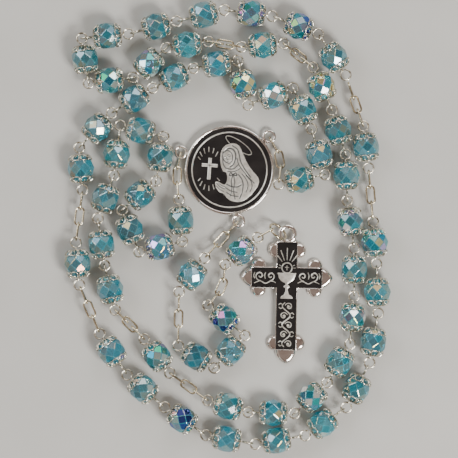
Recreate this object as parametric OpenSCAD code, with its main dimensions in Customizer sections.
// Five-decade rosary of faceted glass beads, laid out flat.
// Millimetres. +Z is up, z = 0 is the surface it lies on, and the origin is
// the middle of the medal's back face. +Y runs towards the top of the medal.

/* [Beads] */
// Diameter of a glass bead across its widest corners
bead_d = 8; // [7.6:0.1:8]
// Length of a bead along its hole
bead_len = 7.4; // [7:0.1:7.6]
// Diameter of the hole through a bead
bead_bore_d = 1.0; // [0.9:0.1:1.2]

/* [Bead caps] */
// Number of petals on a cap
cap_petals = 8; // [6:1:9]
// Thickness of the cap metal
cap_wall = 0.25; // [0.2:0.05:0.3]
// Outside radius of a cap at its petal tips
cap_r = 3.65; // [3.6:0.05:3.7]

/* [Wire] */
// Diameter of the pin wire
wire_d = 0.55; // [0.5:0.05:0.6]
// Radius of an eye, to the middle of its wire
eye_r = 1.5; // [1.45:0.05:1.55]
// Distance from a bead's middle to the middle of its eye
eye_reach = 6.2; // [6.1:0.1:6.3]

/* [Chain links] */
// Diameter of the link wire
link_wire_d = 0.6; // [0.5:0.05:0.6]
// Outside length of a link
link_len = 5.8; // [5.7:0.1:5.9]
// Outside width of a link
link_w = 2.9; // [2.8:0.1:3.1]
// Drop of the middle link of three below its ends
chain_sag = 0.6; // [0:0.1:0.8]

/* [Medal] */
// Outside diameter of the medal
medal_d = 26.4; // [26:0.1:26.8]
// Thickness of the medal at its rim
medal_t = 2.5; // [2.3:0.1:2.6]
// Width of the polished rim
medal_rim_w = 0.85; // [0.7:0.05:1]
// Distance from the medal's middle to the middle of a loop
medal_loop_reach = 15.2; // [15.1:0.1:15.4]

/* [Crucifix] */
// Width over the points of the side arms
cross_w = 27.4; // [27:0.1:28]
// Length from the crossing to the foot point
cross_foot = 25.4; // [25:0.1:26]
// Width of the enamelled bars
bar_w = 5.7; // [5.4:0.1:6]
// Thickness of the silver plate
cross_plate_t = 1.5; // [1.3:0.1:1.7]
// Thickness over the raised enamel bars
cross_t = 2.4; // [2.2:0.1:2.6]

/* [Loops and ring] */
// Thickness of the cast loops on the medal and the crucifix
loop_t = 0.9; // [0.8:0.1:1]
// Outside diameter of the jump ring
jump_ring_d = 6.4; // [6.2:0.1:6.6]
// Diameter of the jump ring's wire
jump_wire_d = 0.7; // [0.6:0.05:0.8]

/* [Hidden] */
$fn = 32;

silver = [0.84, 0.8, 0.7];
bright_silver = [0.88, 0.87, 0.83];
enamel_black = [0.03, 0.03, 0.04];
aqua = [0.1, 0.55, 0.58];

// How the rosary lies. Each list is one run of pins, joined eye to eye: a place
// that the run starts from, then the middle of each pin's far eye.
decade_1 = [
    [-14.8, -9], [-13.8, -21], [-26.5, -24], [-31.5, -11.8], [-21.5, -3.3], [-19.3, 9.7],
    [-32, 13], [-33.8, -1.6], [-38.6, -14.2], [-36.6, -28], [-33.5, -41]
];
decade_2 = [
    [-6.5, -67.5], [5.5, -71], [19, -71.3], [28.6, -62.3], [35.3, -51], [36.5, -37],
    [36.5, -23], [34.5, -9], [34, 4.5], [30, 17.5], [24.5, 30]
];
decade_3 = [
    [-6.5, 37.5], [-18.5, 35.7], [-28.2, 27], [-41.3, 25.4], [-43.2, 38.5], [-29.6, 39.8],
    [-15.5, 43.5], [-1.5, 46.8], [12.5, 45], [26, 39.8], [34, 27.8]
];
decade_4 = [
    [42, -15], [43, -27.5], [43.5, -42], [41, -56.5], [34.2, -69.6], [22.1, -77.8],
    [7.6, -80.3], [-6.9, -77.7], [-19, -69.5], [-30, -60], [-38, -48]
];
decade_5 = [
    [-43, -6.5], [-44, 6.5], [-34.5, 16.7], [-22.5, 24], [-10.5, 29.8], [2.4, 32],
    [5.4, 19], [18.6, 24], [24, 12], [28, -1.4], [14.4, -4.2]
];
hail_marys = [[-15, -51.5], [-4.5, -58], [4.5, -48.5], [-6.3, -39.7]];
our_father_1 = [[-25, -49.5], [-17.5, -59.5]];
our_father_2 = [[16, 37], [3.5, 36]];
our_father_3 = [[39.2, 12.5], [40.7, 0.5]];
our_father_4 = [[-44, -33.7], [-45, -21.3]];
drop_our_father_1 = [[-7.2, -25.7], [-14.8, -35.7]];
drop_our_father_2 = [[-1, -27.5], [8.3, -19.8]];

// Directions of the last pieces below the second Our Father bead of the drop
link_heading = 30;
ring_heading = -14;
ring_lean = 40;
cross_turn = -1;

axis_z = bead_d / 2;
loop_z = 1.5;
loop_angles = [160, 40, 280];
loop_hole_r = 1.25;
loop_rim_w = 0.8;
overlap = 0.05;
eps = 0.01;

half_corner = 22.5;
bead_sides = 8;
widest_r = bead_d / 2;
flat_r = widest_r * cos(half_corner);
crown_x = 1.6;
girdle_x = 2 * crown_x;
girdle_r = 2 * flat_r * cos(half_corner) - widest_r;
face_x = bead_len / 2;
girdle_mid_r = girdle_r * cos(half_corner);
face_slope = (girdle_mid_r - flat_r) / (girdle_x - crown_x);
face_r = girdle_mid_r + face_slope * (face_x - girdle_x);

link_reach = (link_len - link_wire_d) / 2;
link_bend_r = (link_w - link_wire_d) / 2;
most_link_play = link_reach - link_wire_d - 0.1;
least_link_play = 0.5;
open_gap = 0.4;

ring_r = (jump_ring_d - jump_wire_d) / 2;
bail_hole_r = 1.6;
bail_r = 2.85;
bail_y = 12.9;
lobe_r = 1.7;
bar_top = 10.4;
bar_arm = 10.2;
bar_foot = 21;
bar_edge_w = 0.3;
enamel_floor = 1.9;
relief_t = 0.15;

// ---- Places ----

function unit(v) = v / norm(v);
function heading(v) = atan2(v.y, v.x);
function at_z(p, z) = [p.x, p.y, z];

// Where pin number i of a run starts and ends: the middles of its two eyes
function far_eye(run, i) = run[i];
function near_eye(run, i) = run[i] - 2 * eye_reach * unit(run[i] - run[i - 1]);
function first_eye(run) = at_z(near_eye(run, 1), axis_z);
function last_eye(run) = at_z(run[len(run) - 1], axis_z);
// The loop of the rosary is left open at the end of one run: the chain's link
// lies just past the eye that it would hold
function past_eye(run, next) =
    last_eye(run) + (eye_r + wire_d + open_gap) * unit(first_eye(next) - last_eye(run));
function medal_loop(i) = [
    medal_loop_reach * cos(loop_angles[i]), medal_loop_reach * sin(loop_angles[i]), loop_z
];

// Every eye sits inside the next one with this much slack or less
slack = eye_r - wire_d - 0.05;
for (run = [decade_1, decade_2, decade_3, decade_4, decade_5, hail_marys])
    for (i = [2 : len(run) - 1])
        assert(abs(norm(run[i] - run[i - 1]) - 2 * eye_reach - eye_r) < slack,
            str("pins do not meet at ", run[i]));

// ---- Glass beads ----

function corner(x, r, half_steps) =
    [x, r * cos(half_steps * half_corner), r * sin(half_steps * half_corner)];
// Rows of corners from one end face to the other, each turned half a step from the last
bead_rows = [
    [-face_x, face_r, 0], [-girdle_x, girdle_r, 1], [-crown_x, flat_r, 0], [0, widest_r, 1],
    [crown_x, flat_r, 0], [girdle_x, girdle_r, 1], [face_x, face_r, 0]
];
bead_points = [
    for (row = bead_rows)
        for (k = [0 : bead_sides - 1]) corner(row[0], row[1], 2 * k + row[2])
];
function bead_index(row, k) = row * bead_sides + (k + bead_sides) % bead_sides;
// One diamond: the corners before, beside and after the middle of a row of facets
function diamond(row, k) =
    let (beside = bead_rows[row][2] == 0 ? 1 : 0)
    [
        bead_index(row - 1, k), bead_index(row, k + beside - 1),
        bead_index(row + 1, k), bead_index(row, k + beside)
    ];
bead_faces = concat(
    [[for (k = [0 : bead_sides - 1]) bead_index(0, k)]],
    [[for (k = [0 : bead_sides - 1]) bead_index(6, bead_sides - 1 - k)]],
    [for (row = [1 : 5]) for (k = [0 : bead_sides - 1]) diamond(row, k)],
    [for (k = [0 : bead_sides - 1]) [bead_index(0, k), bead_index(1, k), bead_index(0, k + 1)]],
    [for (k = [0 : bead_sides - 1]) [bead_index(6, k + 1), bead_index(5, k), bead_index(6, k)]]
);

module glass_bead() {
    color(aqua, 0.8)
        difference() {
            rotate([half_corner, 0, 0]) polyhedron(bead_points, bead_faces);
            rotate([0, 90, 0]) cylinder(d = bead_bore_d, h = bead_len + 2, center = true);
        }
}

// ---- Caps and pins ----

cap_pole_x = face_x + 0.1;
cap_hole_r = 0.42;

// A shallow cup over the end of a bead, open at the middle for the pin
module cap_cup() {
    rotate([0, 90, 0])
        rotate_extrude()
            polygon([
                [cap_hole_r, cap_pole_x], [2.4, cap_pole_x], [2.95, cap_pole_x - 0.55],
                [cap_r - cap_wall, 2.35], [cap_r, 2.45], [cap_r - 0.45, 3.4],
                [2.5, cap_pole_x + cap_wall], [cap_hole_r, cap_pole_x + cap_wall]
            ]);
}

// Outline of the petals, seen along the pin: tips with notches between them
module petal_outline() {
    tips = 2 * cap_petals;
    tip_r = cap_r + 0.3;
    notch_r = cap_r - 0.75;
    polygon([
        for (i = [0 : tips - 1])
            let (r = i % 2 == 0 ? tip_r : notch_r)
            [r * cos(i * 360 / tips), r * sin(i * 360 / tips)]
    ]);
}

// The cup cut back to its petals
module bead_cap() {
    intersection() {
        cap_cup();
        rotate([0, 90, 0])
            linear_extrude(2 * cap_pole_x) petal_outline();
    }
}

// An eye is flat when its hole faces up, and upright when its hole faces sideways
module eye(flat) {
    rotate([flat ? 0 : 90, 0, 0])
        rotate_extrude() translate([eye_r, 0]) circle(d = wire_d);
}

module eye_pin(near_flat) {
    shaft = 2 * (eye_reach - eye_r);
    rotate([0, 90, 0]) cylinder(d = wire_d, h = shaft, center = true);
    translate([-eye_reach, 0, 0]) eye(near_flat);
    translate([eye_reach, 0, 0]) eye(true);
}

// Brings a piece drawn along +X about its own middle to pin number i of a run
module on_pin(run, i) {
    way = run[i] - run[i - 1];
    translate(at_z(run[i] - eye_reach * unit(way), axis_z))
        rotate([0, 0, heading(way)]) children();
}

module beads_on(run, from, to)
    for (i = [from : to]) on_pin(run, i) glass_bead();

// The first pin of a run hooks into a chain, so its near eye is flat
module mounts_on(run, from, to) {
    color(silver)
        for (i = [from : to])
            on_pin(run, i) {
                eye_pin(i == 1);
                bead_cap();
                mirror([1, 0, 0]) bead_cap();
            }
}

// ---- Chain ----

module oval_link() {
    straight = link_reach - link_bend_r;
    for (side = [-1, 1]) {
        translate([0, side * link_bend_r, 0])
            rotate([0, 90, 0]) cylinder(d = link_wire_d, h = 2 * straight, center = true);
        translate([side * straight, 0, 0])
            rotate([0, 0, side * 90 - 180])
                rotate_extrude(angle = 180) translate([link_bend_r, 0]) circle(d = link_wire_d);
    }
}

// A link whose end hooks at `hook` and which comes from the side of `from`
module upright_link(from, hook) {
    way = hook - from;
    translate(hook - link_reach * unit(way))
        rotate([0, 0, heading(way)])
            rotate([0, -asin(way.z / norm(way)), 0])
                rotate([90, 0, 0]) oval_link();
}

// Three links between two flat eyes: upright, flat, upright. bow moves the
// flat one sideways, to the left of the way from start to end.
module three_links(start, end, bow) {
    across = unit([end.x - start.x, end.y - start.y, 0]);
    left = [-across.y, across.x, 0];
    middle = (start + end) / 2 + bow * left - [0, 0, chain_sag];
    half = norm([end.x - start.x, end.y - start.y]) / 2;
    reach = sqrt(max(4 * link_reach * link_reach - bow * bow, 0));
    play = min(max(half - reach, least_link_play), most_link_play);
    color(silver) {
        upright_link(start, middle - play * across);
        translate(middle) rotate([0, 0, heading(across)]) oval_link();
        upright_link(end, middle + play * across);
    }
}

// ---- Medal ----

medal_r = medal_d / 2;
field_r = medal_r - medal_rim_w;
enamel_bottom = 1.7;
enamel_top = medal_t - 0.2;
line_r = 11;
line_w = 0.4;

module cast_loop() {
    difference() {
        cylinder(r = loop_hole_r + loop_rim_w, h = loop_t, center = true);
        cylinder(r = loop_hole_r, h = loop_t + 1, center = true);
    }
}

module medal_casting() {
    color(bright_silver) {
        difference() {
            rotate_extrude()
                polygon([
                    [0, 0], [medal_r - 0.4, 0], [medal_r, 0.5], [medal_r, medal_t - 0.5],
                    [medal_r - 0.3, medal_t], [field_r, medal_t], [field_r, enamel_bottom],
                    [0, enamel_bottom]
                ]);
            for (i = [0 : 2])
                translate(medal_loop(i)) cylinder(r = loop_hole_r, h = 4, center = true);
        }
        for (i = [0 : 2]) translate(medal_loop(i)) cast_loop();
    }
}

module medal_enamel() {
    color(enamel_black)
        translate([0, 0, enamel_bottom])
            cylinder(r = field_r, h = enamel_top - enamel_bottom, $fn = 96);
}

module ray(place, turn, inner, length) {
    translate([place.x, place.y, 0])
        rotate([0, 0, turn]) translate([inner, -0.12, 0]) cube([length, 0.24, relief_t]);
}

// Thin line, small cross with rays, and a veiled figure at prayer with a halo
module medal_relief() {
    emblem = [-5.85, 0.9];
    emblem_arm = 2.3;
    color(bright_silver)
        translate([0, 0, enamel_top]) {
            difference() {
                cylinder(r = line_r + line_w / 2, h = relief_t, $fn = 96);
                translate([0, 0, -1]) cylinder(r = line_r - line_w / 2, h = 3, $fn = 96);
            }
            translate([emblem.x, emblem.y, 0]) {
                translate([-0.5, -3.6, 0]) cube([1, 6.2, relief_t]);
                translate([-emblem_arm, -0.2, 0]) cube([2 * emblem_arm, 1, relief_t]);
            }
            for (turn = [50 : 16 : 130], side = [0, 180]) ray(emblem, turn + side, 3.9, 1.2);
            veiled_figure();
            translate([2.8, 7.1, 0])
                rotate([0, 0, -36])
                    linear_extrude(relief_t)
                        difference() {
                            scaled_disc(4.3, 1.25);
                            scaled_disc(4, 0.95);
                            translate([-2.4, -2]) square([5.4, 2]);
                        }
        }
}

// An ellipse drawn as an outline
module scaled_disc(a, b)
    polygon([for (t = [0 : 10 : 350]) [a * cos(t), b * sin(t)]]);

module veiled_figure() {
    linear_extrude(2 * relief_t)
        polygon([
            [-2.2, 6], [0.9, 7.9], [2.9, 6.9], [4, 4], [6, 0.2], [8.4, -2], [8.6, -3.8],
            [7.6, -5.6], [4.4, -9], [2.4, -9.4], [0.6, -9.2], [-1.8, -8.4], [-3.3, -6.2],
            [-2.6, -4.6], [-1.4, -3], [-0.2, -0.6], [-2.2, -0.2], [-2.4, 3]
        ]);
}

// ---- Crucifix ----

// Silver outline behind the bars: each end has two round lobes and a point
module end_point(reach, half_w) {
    polygon([
        [0, -half_w], [reach - 1.9, -1.7], [reach - 0.7, -0.9], [reach, 0],
        [reach - 0.7, 0.9], [reach - 1.9, 1.7], [0, half_w]
    ]);
}

module budded_outline() {
    bar = bar_w + 2 * bar_edge_w;
    translate([-bar / 2, -bar_foot - 0.4]) square([bar, bar_foot + bar_top + 0.8]);
    translate([-bar_arm - 0.4, -bar / 2]) square([2 * bar_arm + 0.8, bar]);
    for (side = [0, 180])
        rotate([0, 0, side])
            translate([bar_arm, 0]) end_point(cross_w / 2 - bar_arm, bar / 2);
    rotate([0, 0, -90]) translate([bar_foot, 0]) end_point(cross_foot - bar_foot, bar / 2);
    for (side = [-1, 1]) {
        translate([side * 8.3, 4.1]) circle(r = lobe_r);
        translate([side * 8.3, -4.1]) circle(r = lobe_r);
        translate([side * 4, 8.2]) circle(r = lobe_r);
        translate([side * 3.9, -19.2]) circle(r = lobe_r);
    }
}

module bars(grow) {
    half = bar_w / 2 + grow;
    translate([-half, -bar_foot - grow]) square([2 * half, bar_foot + bar_top + 2 * grow]);
    translate([-bar_arm - grow, -half]) square([2 * (bar_arm + grow), 2 * half]);
}

// The last pieces hang one from the next, so each place follows from the one before
link_way = [cos(link_heading), sin(link_heading), 0];
ring_way = [cos(ring_heading), sin(ring_heading), 0];
link_start = last_eye(drop_our_father_2);
link_rise = 1.2;
ring_far_z = 1.2;
bail_z = 1.8;
link_hook = link_start + 2 * link_reach * link_way + [0, 0, link_rise];
ring_near = link_hook - 0.75 * unit(link_hook - link_start);
ring_drop = asin((ring_near.z - ring_far_z) / (2 * ring_r));
ring_across = cos(ring_drop) * ring_way - [0, 0, sin(ring_drop)];
ring_middle = ring_near + ring_r * ring_across;
ring_far = ring_near + 2 * ring_r * ring_across;
bail_middle = ring_far + 0.8 * ring_way;

module crucifix_place() {
    translate([bail_middle.x, bail_middle.y, 0])
        rotate([0, 0, cross_turn]) translate([0, -bail_y, 0]) children();
}

module crucifix_casting() {
    color(bright_silver)
        crucifix_place() {
            linear_extrude(cross_plate_t)
                difference() {
                    budded_outline();
                    translate([0, bail_y]) circle(r = bail_hole_r);
                }
            translate([0, 0, cross_plate_t - overlap])
                linear_extrude(cross_t - cross_plate_t + overlap)
                    difference() {
                        bars(bar_edge_w);
                        bars(0);
                    }
            translate([0, 0, cross_plate_t - overlap])
                linear_extrude(enamel_floor - cross_plate_t + overlap) bars(eps);
            translate([0, bail_y, bail_z])
                difference() {
                    cylinder(r = bail_r, h = loop_t, center = true);
                    cylinder(r = bail_hole_r, h = 2, center = true);
                    translate([0, -bail_y, enamel_floor - bail_z])
                        linear_extrude(1) bars(0);
                }
        }
}

module crucifix_enamel() {
    color(enamel_black)
        crucifix_place()
            translate([0, 0, enamel_floor])
                linear_extrude(cross_t - relief_t - enamel_floor) bars(0);
}

// Cup, stem and foot below a round host with rays above it
module crucifix_chalice() {
    host_y = 2.8;
    color(bright_silver)
        crucifix_place()
            translate([0, 0, cross_t - relief_t]) {
                linear_extrude(relief_t) {
                    polygon([
                        [-2.7, 1.2], [2.7, 1.2], [2, -0.6], [0.5, -1.6], [0.35, -2.2],
                        [0.9, -2.8], [0.4, -3.4], [1.7, -5.6], [1.7, -6.1], [-1.7, -6.1],
                        [-1.7, -5.6], [-0.4, -3.4], [-0.9, -2.8], [-0.35, -2.2], [-0.5, -1.6],
                        [-2, -0.6]
                    ]);
                    translate([0, host_y])
                        difference() {
                            circle(r = 1.5);
                            circle(r = 1.25);
                        }
                }
                for (turn = [50 : 20 : 130]) ray([0, host_y], turn, 2.2, 2);
                ray([0, host_y], 90, 4.6, 1.6);
            }
}

// A thin arc used to draw scrolls
module curl(place, r, from, sweep) {
    translate([place.x, place.y, 0])
        rotate([0, 0, from])
            rotate_extrude(angle = sweep) translate([r, 0]) square([0.3, relief_t]);
}

module crucifix_scrolls() {
    color(bright_silver)
        crucifix_place()
            translate([0, 0, cross_t - relief_t]) {
                for (side = [0, 1])
                    mirror([side, 0, 0]) {
                        curl([7.9, 0.6], 1.2, -60, 250);
                        curl([4.9, 0.4], 1.1, -10, 250);
                        translate([3, -1.8, 0]) cube([6.2, 0.3, relief_t]);
                    }
                for (i = [0 : 3]) {
                    side = i % 2 == 0 ? 1 : -1;
                    curl([0, -8.8 - 3.1 * i], 1.4, -90, 180 * side);
                    curl([side * 0.9, -8.8 - 3.1 * i], 0.5, 30, 250);
                }
            }
}

module crucifix_link() color(silver) upright_link(link_start, link_hook);

module jump_ring() {
    color(silver)
        translate(ring_middle)
            rotate([0, 0, ring_heading])
                rotate([0, ring_drop, 0])
                    rotate([ring_lean - 90, 0, 0])
                        rotate_extrude() translate([ring_r, 0]) circle(d = jump_wire_d);
}

// ---- The drop, from the medal to the crucifix ----

module drop_chain_1() three_links(medal_loop(2), first_eye(drop_our_father_1), 0);
module drop_our_father_1_bead() beads_on(drop_our_father_1, 1, 1);
module drop_our_father_1_mount() mounts_on(drop_our_father_1, 1, 1);
module drop_chain_2() three_links(last_eye(drop_our_father_1), first_eye(hail_marys), 0);
module hail_mary_1_bead() beads_on(hail_marys, 1, 1);
module hail_mary_1_mount() mounts_on(hail_marys, 1, 1);
module hail_mary_2_bead() beads_on(hail_marys, 2, 2);
module hail_mary_2_mount() mounts_on(hail_marys, 2, 2);
module hail_mary_3_bead() beads_on(hail_marys, 3, 3);
module hail_mary_3_mount() mounts_on(hail_marys, 3, 3);
module drop_chain_3() three_links(last_eye(hail_marys), first_eye(drop_our_father_2), -1.5);
module drop_our_father_2_bead() beads_on(drop_our_father_2, 1, 1);
module drop_our_father_2_mount() mounts_on(drop_our_father_2, 1, 1);

// ---- The loop, from the medal's left loop round to its right loop ----

module loop_chain_1() three_links(medal_loop(0), first_eye(decade_1), -0.8);
module decade_1_first_beads() beads_on(decade_1, 1, 5);
module decade_1_first_mounts() mounts_on(decade_1, 1, 5);
module decade_1_last_beads() beads_on(decade_1, 6, 10);
module decade_1_last_mounts() mounts_on(decade_1, 6, 10);
module loop_chain_2() three_links(last_eye(decade_1), first_eye(our_father_1), 0);
module our_father_1_bead() beads_on(our_father_1, 1, 1);
module our_father_1_mount() mounts_on(our_father_1, 1, 1);
module loop_chain_3() three_links(last_eye(our_father_1), first_eye(decade_2), 0);
module decade_2_first_beads() beads_on(decade_2, 1, 5);
module decade_2_first_mounts() mounts_on(decade_2, 1, 5);
module decade_2_last_beads() beads_on(decade_2, 6, 10);
module decade_2_last_mounts() mounts_on(decade_2, 6, 10);
module loop_chain_4() three_links(last_eye(decade_2), first_eye(our_father_2), 0);
module our_father_2_bead() beads_on(our_father_2, 1, 1);
module our_father_2_mount() mounts_on(our_father_2, 1, 1);
module loop_chain_5() three_links(last_eye(our_father_2), first_eye(decade_3), 0);
module decade_3_first_beads() beads_on(decade_3, 1, 5);
module decade_3_first_mounts() mounts_on(decade_3, 1, 5);
module decade_3_last_beads() beads_on(decade_3, 6, 10);
module decade_3_last_mounts() mounts_on(decade_3, 6, 10);
module loop_chain_6() three_links(past_eye(decade_3, our_father_3), first_eye(our_father_3), 0);
module our_father_3_bead() beads_on(our_father_3, 1, 1);
module our_father_3_mount() mounts_on(our_father_3, 1, 1);
module loop_chain_7() three_links(last_eye(our_father_3), first_eye(decade_4), 0);
module decade_4_first_beads() beads_on(decade_4, 1, 5);
module decade_4_first_mounts() mounts_on(decade_4, 1, 5);
module decade_4_last_beads() beads_on(decade_4, 6, 10);
module decade_4_last_mounts() mounts_on(decade_4, 6, 10);
module loop_chain_8() three_links(last_eye(decade_4), first_eye(our_father_4), 0);
module our_father_4_bead() beads_on(our_father_4, 1, 1);
module our_father_4_mount() mounts_on(our_father_4, 1, 1);
module loop_chain_9() three_links(last_eye(our_father_4), first_eye(decade_5), 0);
module decade_5_first_beads() beads_on(decade_5, 1, 5);
module decade_5_first_mounts() mounts_on(decade_5, 1, 5);
module decade_5_last_beads() beads_on(decade_5, 6, 10);
module decade_5_last_mounts() mounts_on(decade_5, 6, 10);
module loop_chain_10() three_links(last_eye(decade_5), medal_loop(1), -1.7);

medal_casting();
medal_enamel();
medal_relief();
crucifix_casting();
crucifix_enamel();
crucifix_chalice();
crucifix_scrolls();
jump_ring();
crucifix_link();
drop_chain_1();
drop_chain_2();
drop_chain_3();
drop_our_father_1_bead();
drop_our_father_1_mount();
hail_mary_1_bead();
hail_mary_1_mount();
hail_mary_2_bead();
hail_mary_2_mount();
hail_mary_3_bead();
hail_mary_3_mount();
drop_our_father_2_bead();
drop_our_father_2_mount();
loop_chain_1();
loop_chain_2();
loop_chain_3();
loop_chain_4();
loop_chain_5();
loop_chain_6();
loop_chain_7();
loop_chain_8();
loop_chain_9();
loop_chain_10();
our_father_1_bead();
our_father_1_mount();
our_father_2_bead();
our_father_2_mount();
our_father_3_bead();
our_father_3_mount();
our_father_4_bead();
our_father_4_mount();
decade_1_first_beads();
decade_1_first_mounts();
decade_1_last_beads();
decade_1_last_mounts();
decade_2_first_beads();
decade_2_first_mounts();
decade_2_last_beads();
decade_2_last_mounts();
decade_3_first_beads();
decade_3_first_mounts();
decade_3_last_beads();
decade_3_last_mounts();
decade_4_first_beads();
decade_4_first_mounts();
decade_4_last_beads();
decade_4_last_mounts();
decade_5_first_beads();
decade_5_first_mounts();
decade_5_last_beads();
decade_5_last_mounts();
